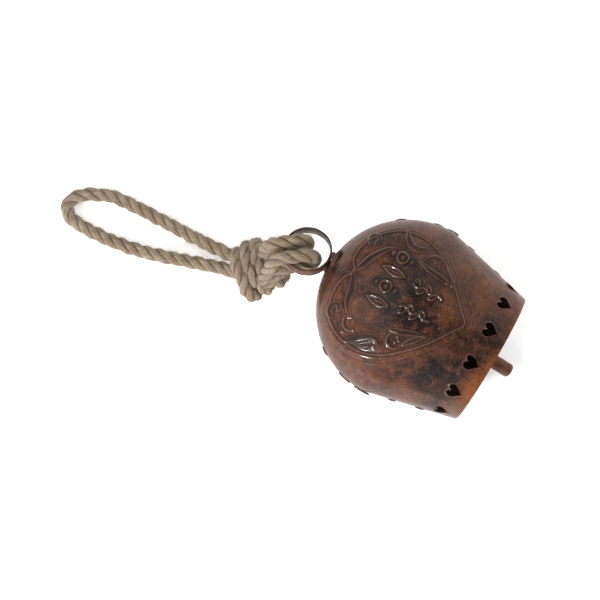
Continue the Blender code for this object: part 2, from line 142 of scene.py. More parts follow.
# small steel parts: main, second and dark colour, lowest and highest roughness, metallic
STEELS = {
    "weld_metal": ((0.052, 0.026, 0.018), (0.100, 0.042, 0.022), (0.014, 0.009, 0.008), (0.42, 0.62), 0.4),
    "dark_steel": ((0.085, 0.066, 0.050), (0.120, 0.082, 0.056), (0.025, 0.020, 0.017), (0.34, 0.5), 0.55),
    "tab": ((0.050, 0.032, 0.020), (0.085, 0.050, 0.026), (0.014, 0.010, 0.008), (0.45, 0.65), 0.3),
    "ring_outside": ((0.098, 0.042, 0.027), (0.142, 0.066, 0.042), (0.034, 0.019, 0.015), (0.44, 0.60), 0.4),
    "ring_inside": ((0.125, 0.122, 0.104), (0.165, 0.155, 0.128), (0.040, 0.036, 0.030), (0.34, 0.5), 0.6),
    "clapper_steel": ((0.170, 0.066, 0.036), (0.240, 0.092, 0.046), (0.060, 0.028, 0.020), (0.48, 0.66), 0.25),
}

# stage
LAMPS_AIM = Vector((-0.05, -0.02, 0.04))
# place, side of the square in metres and power in watts
LAMPS = {
    "window": ((-0.22, -0.95, 0.62), 0.20, 11.0),
    "side": ((0.15, 0.95, 0.70), 1.60, 5.0),
    "top": ((-0.75, -0.10, 1.30), 1.40, 6.0),
}
SKY_FALL = (0.0, 0.95, 0.66, 0.14)
CAMERA_BACK = Vector((0.0319, -0.0696, 0.9971))
CAMERA_RIGHT = Vector((0.8645, 0.5037, 0))
CAMERA_AIM = Vector((MOUTH_X - 0.1588, -0.0365, 0.05))
CAMERA_DISTANCE = 1.3951
SENSOR = 36
HALF_VIEW = math.radians(10)


def number(name, text, default, **more):
    """A user's number."""
    return bpy.props.FloatProperty(name=name, description=text, default=default, **more)


def colour(name, text, default):
    """A user's colour."""
    return bpy.props.FloatVectorProperty(
        name=name, description=text, default=default, subtype="COLOR", size=3, min=0, max=1)


class BellSizes(bpy.types.PropertyGroup):
    """Sizes of the bell's looks"""

    sheet: number("Sheet", "Thickness of the pressed sheet", 0.0012, unit="LENGTH", precision=4)
    relief: number("Relief", "Height of the embossed work, 1 as made", 1.0, subtype="FACTOR")
    dents: number("Dents", "Depth of the sheet's waviness", 0.00022, unit="LENGTH", precision=5)


class RopeSizes(bpy.types.PropertyGroup):
    """Sizes of the rope"""

    diameter: number("Diameter", "Thickness of the rope", 0.0110, unit="LENGTH", precision=4)
    lay: number("Lay", "Length of one full turn of a strand", 0.0330, unit="LENGTH", precision=4)
    fibres: bpy.props.IntProperty(name="Fibres", description="Loose fibres on the rope", default=6500, min=0)
    fibre_length: number("Fibre length", "Usual length of a loose fibre", 0.0075, unit="LENGTH", precision=4)


class BellColours(bpy.types.PropertyGroup):
    """Colours of the sheet and the rope"""

    brown: colour("Brown", "Main colour of the rusted sheet", (0.080, 0.027, 0.0155))
    red: colour("Red", "Redder parts of the rusted sheet", (0.148, 0.048, 0.025))
    soot: colour("Black", "Dark mottling on the sheet", (0.009, 0.006, 0.007))
    orange: colour("Orange", "Fresh rust near the mouth", (0.215, 0.064, 0.015))
    straw: colour("Straw", "Light fibres of the rope", (0.560, 0.460, 0.335))
    tan: colour("Tan", "Dark fibres of the rope", (0.215, 0.138, 0.074))


# --- helpers

def smooth_route(points, spacing):
    """Points about `spacing` apart on a smooth curve through the route's own points."""
    points = [Vector(p) for p in points]
    ends = [2 * points[0] - points[1], *points, 2 * points[-1] - points[-2]]
    fine = [points[0]]
    for before, start, end, after in zip(ends, ends[1:], ends[2:], ends[3:]):
        reach = (end - start).length / 3
        first = start + (end - before).normalized() * reach
        second = end - (after - start).normalized() * reach
        fine += interpolate_bezier(start, first, second, end, 12)[1:]
    total = sum((b - a).length for a, b in zip(fine, fine[1:]))
    count = max(3, round(total / spacing))
    out, walked, wanted = [fine[0]], 0.0, total / count
    for a, b in zip(fine, fine[1:]):
        step = (b - a).length
        while walked + step >= wanted - 1e-9 and len(out) < count:
            out.append(a.lerp(b, (wanted - walked) / step))
            wanted += total / count
        walked += step
    out.append(fine[-1])
    return out


def new_object(name, vertices, faces, material, body, sharp=40.0):
    """A smooth-shaded mesh that rides on a body; vertices and faces are plain lists."""
    mesh = bpy.data.meshes.new(name)
    mesh.from_pydata([tuple(v) for v in vertices], [], faces)
    mesh.validate()
    bm = bmesh.new()
    bm.from_mesh(mesh)
    bmesh.ops.recalc_face_normals(bm, faces=bm.faces)
    bm.to_mesh(mesh)
    bm.free()
    if material:
        mesh.materials.append(material)
    mesh.shade_smooth()
    mesh.set_sharp_from_angle(angle=math.radians(sharp))
    item = bpy.data.objects.new(name, mesh)
    bpy.context.scene.collection.objects.link(item)
    if body:
        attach(item, body)
    return item


def give_values(mesh, name, values):
    """Store one number per vertex for the materials to read."""
    layer = mesh.attributes.new(name, "FLOAT", "POINT")
    layer.data.foreach_set("value", np.asarray(values, np.float32))


def cut_away(item, cutter):
    """Take the cutter's shape out of the item and drop the cutter."""
    modifier = item.modifiers.new("punch", "BOOLEAN")
    modifier.operation = "DIFFERENCE"
    modifier.solver = "EXACT"
    modifier.object = cutter
    depsgraph = bpy.context.evaluated_depsgraph_get()
    mesh = bpy.data.meshes.new_from_object(
        item.evaluated_get(depsgraph), preserve_all_data_layers=True, depsgraph=depsgraph)
    item.modifiers.clear()
    item.data = mesh
    bpy.data.objects.remove(cutter)


class NodePen:
    """Writes a material's nodes in few words."""

    def __init__(self, material):
        self.tree = material.node_tree
        self.shader = self.tree.nodes["Principled BSDF"]

    def node(self, kind, **settings):
        made = self.tree.nodes.new(kind)
        for key, value in settings.items():
            setattr(made, key, value)
        return made

    def surface(self, values):
        """Set or link the shader's own sockets, by name."""
        for name, value in values.items():
            self.feed(self.shader.inputs[name], value)

    def feed(self, socket, value):
        if isinstance(value, bpy.types.NodeSocket):
            self.tree.links.new(value, socket)
        elif hasattr(value, "__len__") and len(value) == 3 and socket.type == "RGBA":
            socket.default_value = (*value, 1.0)
        else:
            socket.default_value = value

    def noise(self, where, scale, detail=4.0, rough=0.55, twist=0.0):
        made = self.node("ShaderNodeTexNoise")
        self.feed(made.inputs["Vector"], where)
        made.inputs["Scale"].default_value = scale
        made.inputs["Detail"].default_value = detail
        made.inputs["Roughness"].default_value = rough
        made.inputs["Distortion"].default_value = twist
        return made.outputs["Fac"]

    def spread(self, value, low, high, out_low=0.0, out_high=1.0):
        made = self.node("ShaderNodeMapRange", interpolation_type="SMOOTHSTEP")
        for socket, amount in zip(made.inputs, (value, low, high, out_low, out_high)):
            self.feed(socket, amount)
        return made.outputs["Result"]

    def math(self, operation, first, second=0.0, clamp=False):
        made = self.node("ShaderNodeMath", operation=operation, use_clamp=clamp)
        self.feed(made.inputs[0], first)
        self.feed(made.inputs[1], second)
        return made.outputs[0]

    def mix(self, share, first, second):
        made = self.node("ShaderNodeMix", data_type="RGBA")
        self.feed(made.inputs["Factor"], share)
        self.feed(made.inputs[6], first)
        self.feed(made.inputs[7], second)
        return made.outputs[2]

    def stored(self, name):
        return self.node("ShaderNodeAttribute", attribute_name=name).outputs["Fac"]

    def place(self):
        return self.node("ShaderNodeTexCoord").outputs["Object"]

    def join(self, x, y, z=0.0):
        made = self.node("ShaderNodeCombineXYZ")
        for socket, amount in zip(made.inputs, (x, y, z)):
            self.feed(socket, amount)
        return made.outputs[0]

    def bump(self, height, distance, strength=1.0, under=None):
        made = self.node("ShaderNodeBump")
        made.inputs["Strength"].default_value = strength
        made.inputs["Distance"].default_value = distance
        self.feed(made.inputs["Height"], height)
        if under:
            self.feed(made.inputs["Normal"], under)
        return made.outputs["Normal"]


def finish(name, draw, *details):
    """The named material, its nodes drawn the first time that it is asked for."""
    material = bpy.data.materials.get(name)
    if not material:
        material = bpy.data.materials.new(name)
        material.use_nodes = True
        draw(NodePen(material), *details)
    return material


# --- finishes

def rusty_sheet(pen, colours):
    """Pressed steel with a waxed rust skin: brown and red, black mottling, orange near the mouth."""
    where = pen.place()
    broad = pen.noise(where, 26, 5, 0.62, 0.6)
    patch = pen.noise(where, 85, 8, 0.68, 0.5)
    grain = pen.noise(where, 300, 6, 0.70)
    speck = pen.noise(where, 700, 4, 0.65)
    field = pen.stored("field")
    base = pen.mix(pen.spread(patch, 0.38, 0.62), tuple(colours.brown), tuple(colours.red))
    rusty = pen.math("MULTIPLY", pen.stored("fresh"), pen.spread(patch, 0.34, 0.58, 0.30, 1.1), True)
    base = pen.mix(rusty, base, tuple(colours.orange))
    dark = pen.math("ADD", pen.stored("soot"), pen.spread(broad, 0.44, 0.72, -0.08, 0.62))
    dark = pen.math("ADD", dark, pen.math("MULTIPLY", field, 0.16))
    dark = pen.math("MULTIPLY", dark, pen.spread(grain, 0.32, 0.64, 0.35, 1.7), True)
    dark = pen.math("MULTIPLY", dark, pen.spread(patch, 0.34, 0.66, 1.4, 0.45), True)
    base = pen.mix(dark, base, tuple(colours.soot))
    fleck = pen.math("MULTIPLY", pen.spread(speck, 0.52, 0.64), pen.spread(patch, 0.35, 0.7, 0.15, 0.65))
    base = pen.mix(fleck, base, RUST_FLECK)
    base = pen.mix(pen.spread(grain, 0.50, 0.34, 0.0, 0.80), base, RUST_PIT)
    # painted highlight on the relief's crests and the burr rims round the hearts
    base = pen.mix(pen.spread(pen.stored("painted_highlight"), 0.15, 0.95, 0.0, 0.60), base, RUST_PAINTED_HIGHLIGHT)
    # painted shade at the feet of the relief, over the leaf bodies and in its recesses
    base = pen.mix(pen.spread(pen.stored("painted_shade"), 0.05, 0.9, 0.0, 0.92), base, RUST_PAINTED_SHADE)
    uneven = pen.bump(patch, 0.0012, 0.40)
    rough = pen.math("MULTIPLY", grain, pen.spread(field, 0, 1, 0.5, 1.2))
    uneven = pen.bump(rough, 0.0006, 0.7, uneven)
    pen.surface({
        "Base Color": base, "Roughness": pen.spread(grain, 0.3, 0.7, 0.40, 0.60), "Metallic": 0.12,
        "Specular IOR Level": 0.14, "Coat Weight": 0.44, "Coat Roughness": 0.15,
        "Normal": pen.bump(speck, 0.00022, 0.6, uneven)})


def shaded_inner_sheet(pen):
    """The inner skin: dull dark rust, made near black as painted shade."""
    patch = pen.noise(pen.place(), 120, 6, 0.65, 0.3)
    pen.surface({
        "Base Color": pen.mix(pen.spread(patch, 0.35, 0.65), *INNER_SKIN_SHADED), "Roughness": 0.85,
        "Specular IOR Level": 0.15, "Normal": pen.bump(patch, 0.0006, 0.5)})


def draw_steel(pen, main, second, dark, rough, metallic):
    """Oxidised steel for the small parts."""
    where = pen.place()
    patch = pen.noise(where, 160, 6, 0.62, 0.3)
    grain = pen.noise(where, 520, 5, 0.6)
    speck = pen.noise(where, 1500, 3, 0.6)
    base = pen.mix(pen.spread(patch, 0.36, 0.64), main, second)
    base = pen.mix(pen.spread(grain, 0.48, 0.74, 0.0, 0.85), base, dark)
    base = pen.mix(pen.spread(speck, 0.58, 0.76, 0.0, 0.5), base, tuple(min(1, 1.8 * c) for c in second))
    uneven = pen.bump(grain, 0.0004, 0.5)
    pen.surface({
        "Base Color": base, "Roughness": pen.spread(grain, 0.3, 0.7, *rough), "Metallic": metallic,
        "Normal": pen.bump(speck, 0.00012, 0.6, uneven)})


def steel(kind):
    return finish(kind + "_finish", draw_steel, *STEELS[kind])


def jute(pen, colours):
    """Jute yarn: long fibres along each strand, straw to brown, with painted shade between the strands."""
    across, along = pen.stored("yarn_across"), pen.stored("yarn_along")
    fibre = pen.noise(pen.join(across, pen.math("MULTIPLY", along, 0.12)), 1.15, 5, 0.68)
    wide_yarn = pen.join(pen.math("MULTIPLY", across, 0.4), pen.math("MULTIPLY", along, 0.06))
    hank = pen.noise(wide_yarn, 0.9, 4, 0.6)
    hair = pen.noise(pen.join(across, pen.math("MULTIPLY", along, 0.18)), 3.2, 4, 0.65)
    drift = pen.noise(pen.place(), 60, 4, 0.6)
    share = pen.spread(fibre, 0.34, 0.66, 0.0, 0.65)
    share = pen.math("ADD", share, pen.spread(hank, 0.36, 0.64, 0.0, 0.35), True)
    base = pen.mix(share, tuple(colours.tan), tuple(colours.straw))
    base = pen.mix(pen.spread(drift, 0.46, 0.62, 0.0, 0.60), base, YARN_WARM)
    base = pen.mix(pen.spread(hair, 0.56, 0.72, 0.0, 0.7), base, YARN_PALE)
    base = pen.mix(pen.spread(hair, 0.44, 0.30, 0.0, 0.6), base, YARN_DARK)
    # painted shade in the grooves between the strands
    between = pen.spread(pen.stored("groove"), 0.2, 1.0, 0.0, 0.95)
    between = pen.math("MULTIPLY", between, pen.spread(hair, 0.62, 0.38, 0.25, 1.0))
    base = pen.mix(between, base, YARN_GROOVE_SHADE)
    height = pen.bump(fibre, 0.0016, 0.9)
    pen.surface({
        "Base Color": base, "Roughness": 0.92, "Sheen Weight": 0.15, "Sheen Roughness": 0.6,
        "Normal": pen.bump(hair, 0.0007, 0.9, height)})


def loose_fibre(pen):
    """Single dry hairs, dark to pale."""
    tone = pen.noise(pen.place(), 900, 2)
    pen.surface({"Base Color": pen.mix(pen.spread(tone, 0.35, 0.65), *LOOSE_FIBRE), "Roughness": 0.85})


def pale_floor(pen):
    """Plain and nearly white."""
    pen.surface({
        "Base Color": (0.93, 0.93, 0.93), "Roughness": 0.9, "Specular IOR Level": 0.1,
        "Emission Color": (1, 1, 1), "Emission Strength": 0.55})


# --- relief on the front

MEDALLION_MM = [
    (3, 134), (-4, 139), (-14, 141), (-25, 140), (-36, 136), (-44, 129), (-50, 119), (-53, 108),
    (-53.5, 98), (-51, 87), (-45.5, 76), (-37, 66), (-27, 56), (-16, 47), (-4, 39.5), (9, 32.5),
    (19, 41), (30, 51.5), (41, 63), (49.5, 74.5), (55, 86), (57, 97), (56, 108), (52, 118.5),
    (44, 128), (35, 135), (25, 139), (15, 140), (8, 138),
]

# raised leaves and scrolls: (across, height) in mm, half-widths from start to end, rise in mm
LEAVES_MM = [
    ([(2, 132), (-4, 129), (-11, 126.3), (-20, 124.5), (-26, 121.5), (-29, 118)],
     [0.5, 1.9, 2.5, 2.2, 1.2, 0.4], 1.2),
    ([(4, 132), (10, 129), (19, 125.5), (26, 121.5), (32, 117), (35, 113)],
     [0.5, 1.9, 2.4, 2.1, 1.2, 0.4], 1.2),
    ([(-38, 129), (-35.5, 132.8), (-30.5, 134), (-26.8, 131.8), (-27, 128.4), (-30.6, 127.4)],
     [0.5, 1.4, 1.7, 1.6, 1.3, 0.8], 0.9),
    ([(-39, 110), (-39.5, 114), (-36.5, 117.5), (-32.5, 118.5), (-30.5, 116)], [0.5, 1.5, 1.9, 1.4, 0.6], 0.9),
    ([(-49, 112), (-46, 106), (-41.5, 100.5), (-37.8, 95.5), (-36.5, 90.5), (-38.5, 86.5), (-42.5, 87)],
     [0.4, 2.0, 3.2, 3.1, 2.3, 1.7, 0.9], 1.6),
    ([(-46.5, 98), (-45, 93.5), (-42, 91)], [0.6, 1.6, 0.8], 0.9),
    ([(-34.5, 73), (-35, 78), (-31, 81.5), (-26.5, 79.8), (-25.5, 75.6), (-28.5, 73.5)],
     [0.6, 1.4, 1.7, 1.6, 1.3, 0.7], 1.1),
    ([(-24, 84), (-22.5, 77), (-19.5, 70), (-17, 63.5), (-15.5, 57)], [0.4, 1.9, 1.8, 1.2, 0.4], 1.2),
    ([(-29.5, 69), (-25, 66), (-20, 61.5), (-15.5, 57)], [0.5, 1.5, 1.2, 0.4], 1.0),
    ([(54, 111), (47.5, 106.5), (43.5, 101), (44, 95.5), (48, 89.5)], [0.4, 2.3, 2.7, 1.9, 0.5], 1.4),
    ([(35, 90), (32.8, 80), (32, 70), (30, 58)], [0.4, 1.7, 1.8, 0.4], 1.2),
    ([(36, 87), (41.5, 84.5), (45, 79.5), (43.5, 74.5), (39, 74)], [0.6, 1.5, 1.8, 1.5, 0.8], 1.1),
    ([(46, 71), (41, 66), (36, 60.5), (30, 58)], [0.5, 1.4, 1.2, 0.4], 1.0),
    ([(29, 132), (34.5, 134), (38.5, 130.5), (35.5, 126.8), (31.5, 128)], [0.6, 1.4, 1.6, 1.3, 0.8], 0.9),
]
DOTS_MM = [(-31, 75.5, 1.4, 1.0), (40.5, 79, 1.4, 1.0), (-4, 50.5, 1.1, 0.5), (14, 51.5, 1.1, 0.5),
           (5, 55.5, 1.2, 0.5), (-44, 116.5, 1.2, 0.6), (-20, 131.5, 1.1, 0.5), (22, 132, 1.1, 0.5)]
SPINDLES_MM = [(-9.5, 104.0), (17.5, 104.0)]
ROSETTES_MM = [(4.0, 104.0), (31.0, 103.5)]
SPRIGS_MM = [(-4.0, 73.5, 1), (16.5, 73.5, -1)]

# across, height, radius in mm and strength
SOOT_MM = [
    (-40, 34, 12, 1.15), (-34, 19, 9, 0.95), (-36, 30, 12, 0.8), (-24, 27, 10, 0.6), (-18, 44, 9, 0.3),
    (5, 86, 17, 0.75), (-12, 88, 13, 0.55), (22, 84, 12, 0.5), (-8, 68, 12, 0.55), (27, 96, 9, 0.45),
    (2, 62, 8, 0.3), (26, 13, 9, 0.85), (12, 20, 8, 0.45), (0, 14, 9, 0.75), (-12, 17, 8, 0.6),
    (-44, 20, 8, 0.4), (58, 78, 7, 0.55), (0, 150, 9, 0.55), (3, 134, 5, 0.4), (-34, 131, 6, 0.35),
    (38, 125, 8, 0.35), (30, 66, 6, 0.35), (-52, 60, 9, 0.3),
]
FRESH_MM = [
    (-34, 2, 9, 0.95), (-26, 4, 9, 0.8), (-16, 2, 8, 0.85), (-4, 1, 7, 0.8), (-50, 3, 6, 0.3),
    (10, 0, 6, 0.6), (22, 0, 6, 0.5), (38, 5, 10, 0.3), (44, 33, 12, 0.6), (50, 48, 10, 0.35),
    (2, 50, 11, 0.6), (24, 58, 9, 0.4), (62, 20, 9, 0.4), (-30, 124, 14, 0.2), (20, 128, 12, 0.2),
    (48, 96, 9, 0.45), (-28, 75, 8, 0.35), (42, 78, 8, 0.35),
]


def nearest(points, line, closed=False):
    """Distance of each (n, 2) point to a polyline, and how far along it, from 0 to 1, the nearest place is."""
    line = np.asarray(line, float)
    if closed:
        line = np.vstack([line, line[:1]])
    lengths = np.linalg.norm(np.diff(line, axis=0), axis=1)
    before = np.concatenate([[0], np.cumsum(lengths)[:-1]])
    best, share = np.full(len(points), 1e9), np.zeros(len(points))
    for start, end, length, walked in zip(line, line[1:], lengths, before):
        step = end - start
        t = np.clip((points - start) @ step / max(length * length, 1e-12), 0, 1)
        gap = np.linalg.norm(points - start - t[:, None] * step, axis=1)
        closer = gap < best
        best[closer] = gap[closer]
        share[closer] = (walked + t[closer] * length) / lengths.sum()
    return best, share


def flat_curve(points, spacing, closed=False):
    """A smooth flat curve through the points."""
    points = [(x, y, 0.0) for x, y in points]
    if closed:
        points = points + [points[0]]
    return [(p.x, p.y) for p in smooth_route(points, spacing)]


def inside(points, outline):
    """True for the points within a closed outline."""
    found = np.zeros(len(points), bool)
    for (x0, y0), (x1, y1) in zip(outline, outline[1:] + outline[:1]):
        if y0 == y1:
            continue
        crosses = (points[:, 1] > min(y0, y1)) & (points[:, 1] <= max(y0, y1))
        at = x0 + (points[:, 1] - y0) * (x1 - x0) / (y1 - y0)
        found ^= crosses & (points[:, 0] < at)
    return found


def smooth_step(value):
    """From 0 to 1 with soft ends."""
    value = np.clip(value, 0, 1)
    return value * value * (3 - 2 * value)


def relief_mm(spots):
    """The embossed work at (across, height) spots in mm: its height, its painted highlight lines, its painted
    shade lines, its field.
    """
    height, light, dark = np.zeros((3, len(spots)))

    def near(points, reach):
        """Numbers of the spots in the box of the points, widened by the reach."""
        low, high = np.min(points, axis=0) - reach, np.max(points, axis=0) + reach
        return np.flatnonzero(np.all((spots > low) & (spots < high), axis=1))

    def raise_line(points, half, rise, closed=False):
        """A round raised line, with a painted highlight along its top and a painted shadow at its foot."""
        line = flat_curve(points, 0.8, closed)
        found = near(line, 5 * half)
        gap, _ = nearest(spots[found], line)
        height[found] = np.maximum(height[found], ground[found] + rise * np.exp(-(gap / half) ** 2))
        # painted highlight along the top of the line, painted shadow beside its foot
        light[found] = np.maximum(light[found], 0.85 * np.exp(-(gap / (0.8 * half)) ** 2))
        dark[found] = np.maximum(dark[found], 0.9 * np.exp(-((gap - 2.2 * half) / half) ** 2))

    border = flat_curve(MEDALLION_MM, 1.5, True)
    gap, share = nearest(spots, border)
    within = inside(spots, border)
    signed = np.where(within, -gap, gap)
    field = smooth_step((-signed - 1.5) / 2.0)
    height -= 0.30 * field
    full = 1 + 1.3 * np.exp(-((share - 0.27) / 0.08) ** 2)
    height += 0.36 * full * np.sqrt(np.clip(1 - (gap / 2.1) ** 2, 0, 1))
    # the border's two ridges get a painted highlight, and a painted shadow just beyond each
    for edge, rise, tone in ((-2.6, 0.62, 0.85), (2.7, 0.42, 0.60)):
        height += rise * np.exp(-((signed - edge) / 0.50) ** 2)
        light = np.maximum(light, tone * np.exp(-((signed - edge) / 0.50) ** 2))
        beyond = edge + math.copysign(1.1, edge)
        dark = np.maximum(dark, tone * np.exp(-((signed - beyond) / 0.6) ** 2))
    # painted shadow just inside the inner ridge
    dark = np.maximum(dark, 0.6 * np.exp(-((signed + 1.3) / 0.6) ** 2))
    ground = height.copy()

    for points, widths, rise in LEAVES_MM:
        line = flat_curve(points, 0.8)
        found = near(line, 6)
        gap, share = nearest(spots[found], line)
        half = np.interp(share, np.linspace(0, 1, len(widths)), widths)
        body = np.sqrt(np.clip(1 - (gap / half) ** 2, 0, 1))
        groove = 0.30 * np.exp(-(gap / 0.45) ** 2) * smooth_step((half - 1.4) / 0.8)
        lip = np.exp(-((gap - half - 0.35) / 0.42) ** 2)
        raised = np.maximum(height[found], ground[found] + rise * body - groove)
        # painted highlight on the leaf's lip, painted shade over the leaf body and along its outside
        height[found] = raised + 0.3 * lip * (body <= 0)
        light[found] = np.maximum(light[found], 0.8 * lip)
        shade = np.maximum(0.72 * body, 0.7 * np.exp(-((gap - half - 1.5) / 0.6) ** 2))
        dark[found] = np.maximum(dark[found], shade)
    for across, up, radius, rise in DOTS_MM:
        gap = np.hypot(spots[:, 0] - across, spots[:, 1] - up)
        height += rise * np.sqrt(np.clip(1 - (gap / radius) ** 2, 0, 1))
        # painted highlight on the top of each dot
        light = np.maximum(light, 0.7 * (gap < 0.8 * radius))

    for across, up in SPINDLES_MM:
        side = [(across + 3.0 * math.sin(math.pi * t), up + 9.5 - 19 * t) for t in np.linspace(0, 1, 9)]
        other = [(2 * across - x, y) for x, y in side]
        raise_line(side, 0.8, 1.3)
        raise_line(other, 0.8, 1.3)
        raise_line([(across, up + 6), (across, up - 6)], 0.7, 0.7)
    for across, up in ROSETTES_MM:
        turns = np.linspace(0, 2 * math.pi, 20)[:-1]
        raise_line([(across + 4.6 * math.sin(t), up + 4.6 * math.cos(t)) for t in turns], 0.85, 1.3, True)
        for dx, dy in ((0, 0), (0, 8.2), (0, -8.2)):
            raise_line([(across + dx - 0.4, up + dy), (across + dx + 0.4, up + dy)], 1.3, 1.1)
    for across, up, hand in SPRIGS_MM:
        stem = [(0, 13), (1.4, 8), (-1.2, 2.5), (1.2, -3), (-1.0, -8.5), (0, -13)]
        raise_line([(across + hand * x, up + y) for x, y in stem], 0.8, 1.3)
        for y, way in ((9.5, -1), (4.5, 1), (-0.5, -1), (-6, 1)):
            bud = [(0.6, y - 2.5), (3.4, y - 1.2), (5.0, y + 1.2), (3.6, y + 3.0), (2.2, y + 1.2)]
            raise_line([(across + hand * way * x, up + v) for x, v in bud], 0.72, 1.2)
    return height, light, dark * (1 - light), field


def blobs(spots, table):
    """Sum of soft round patches."""
    total = np.zeros(len(spots))
    for across, up, radius, strength in table:
        gap = np.hypot(spots[:, 0] - across, spots[:, 1] - up)
        total += strength * np.exp(-(gap / radius) ** 2)
    return np.clip(total, 0, 1.2)


def blurred(grid, reach):
    """A box blur of a grid, run twice."""
    for _ in range(2):
        for axis in (0, 1):
            width = 2 * reach + 1
            padded = np.pad(grid, [(reach, reach) if a == axis else (0, 0) for a in (0, 1)], mode="edge")
            summed = np.cumsum(padded, axis=axis)
            first = np.zeros_like(np.take(summed, [0], axis=axis))
            summed = np.concatenate([first, summed], axis=axis)
            size = grid.shape[axis]
            high = np.take(summed, range(width, width + size), axis=axis)
            low = np.take(summed, range(size), axis=axis)
            grid = (high - low) / width
    return grid


# --- bell shells

def profile(height, inset):
    """Half width and half depth of the bell's skin at heights above the mouth."""
    rise = np.clip((height - BELLY_HEIGHT) / (CROWN_RISE - inset), 0, 1)
    narrow = np.sqrt(1 - rise ** 2)
    flare = np.clip(height / BELLY_HEIGHT, 0, 1)
    width = MOUTH_HALF_WIDTH + (BELLY_HALF_WIDTH - MOUTH_HALF_WIDTH) * flare
    return (width - inset) * narrow, (HALF_DEPTH - inset) * narrow


def skin_grid(heights, angles, front, inset=0.0):
    """Points of one half's skin, rows from the mouth up, columns from -Y to +Y."""
    sign = 1 if front else -1
    width, depth = profile(heights, inset)
    lift = CLEARANCE / 2
    y = width[:, None] * np.sin(angles)[None, :]
    up = lift + np.maximum(depth[:, None] - lift, 0) * np.cos(angles)[None, :]
    x = np.repeat((MOUTH_X - heights)[:, None], len(angles), axis=1)
    return np.stack([x, y, SEAM_Z + sign * up], axis=2)


def outward_normals(points, front):
    """Unit normals of one half's skin."""
    across = np.gradient(points, axis=1)
    up = np.gradient(points, axis=0)
    normal = np.cross(up, across)
    normal /= np.maximum(np.linalg.norm(normal, axis=2, keepdims=True), 1e-12)
    flip = normal[:, :, 2] * (1 if front else -1) < 0
    normal[flip] *= -1
    return normal


def heart_outline(angle):
    """Middle point and axes of a heart opening, and its outline in those axes."""
    slope = (BELLY_HALF_WIDTH - MOUTH_HALF_WIDTH) / BELLY_HEIGHT
    width = MOUTH_HALF_WIDTH + slope * HEART_HEIGHT
    point = Vector((MOUTH_X - HEART_HEIGHT, width * math.sin(angle), SEAM_Z + HALF_DEPTH * math.cos(angle)))
    around = Vector((0, width * math.cos(angle), -HALF_DEPTH * math.sin(angle))).normalized()
    rise = Vector((-1, slope * math.sin(angle), 0)).normalized()
    rise = (rise - around * rise.dot(around)).normalized()
    outward = Vector((0, math.sin(angle) / width, math.cos(angle) / HALF_DEPTH))
    outward = (outward - rise * outward.dot(rise)).normalized()
    outline = []
    for k in range(40):
        t = 2 * math.pi * k / 40
        along = (13 * math.cos(t) - 5 * math.cos(2 * t) - 2 * math.cos(3 * t) - math.cos(4 * t) + 2.5) / 29
        outline.append((math.sin(t) ** 3 * HEART_WIDE / 2, along * HEART_LONG))
    return point, around, rise, outward, outline


def heart_punches():
    """All six punches as one object."""
    bm = bmesh.new()
    for angle in HEART_ANGLES:
        point, around, rise, outward, outline = heart_outline(angle)
        rings = [[bm.verts.new(point + around * x + rise * y + outward * side * PUNCH_REACH)
                  for x, y in outline] for side in (-1, 1)]
        count = len(outline)
        for k in range(count):
            bm.faces.new((rings[0][k], rings[0][(k + 1) % count], rings[1][(k + 1) % count], rings[1][k]))
        bm.faces.new(rings[0][::-1])
        bm.faces.new(rings[1])
    bmesh.ops.recalc_face_normals(bm, faces=bm.faces)
    mesh = bpy.data.meshes.new("heart_punches")
    bm.to_mesh(mesh)
    bm.free()
    item = bpy.data.objects.new("heart_punches", mesh)
    bpy.context.scene.collection.objects.link(item)
    return item


def burrs(points):
    """From 0 to 1: the raised rim that the punch leaves round each heart."""
    flat = points.reshape(-1, 3)
    total = np.zeros(len(flat))
    for angle in HEART_ANGLES:
        point, around, rise, _, outline = heart_outline(angle)
        offset = flat - np.array(point)
        close = np.flatnonzero(np.linalg.norm(offset, axis=1) < 0.013)
        local = np.stack([offset[close] @ np.array(around), offset[close] @ np.array(rise)], axis=1)
        gap, _ = nearest(local, outline, True)
        total[close] = np.maximum(total[close], np.exp(-(gap / 0.0008) ** 2))
    return total.reshape(points.shape[:2])


def waviness(points):
    """Gentle unevenness of hand-worked sheet, from -1 to 1."""
    rng = np.random.default_rng(4)
    total = np.zeros(points.shape[:2])
    for _ in range(14):
        way = rng.normal(size=3)
        way *= rng.uniform(90, 330) / np.linalg.norm(way)
        total += np.sin(points @ way + rng.uniform(0, 6.28))
    return total / 6


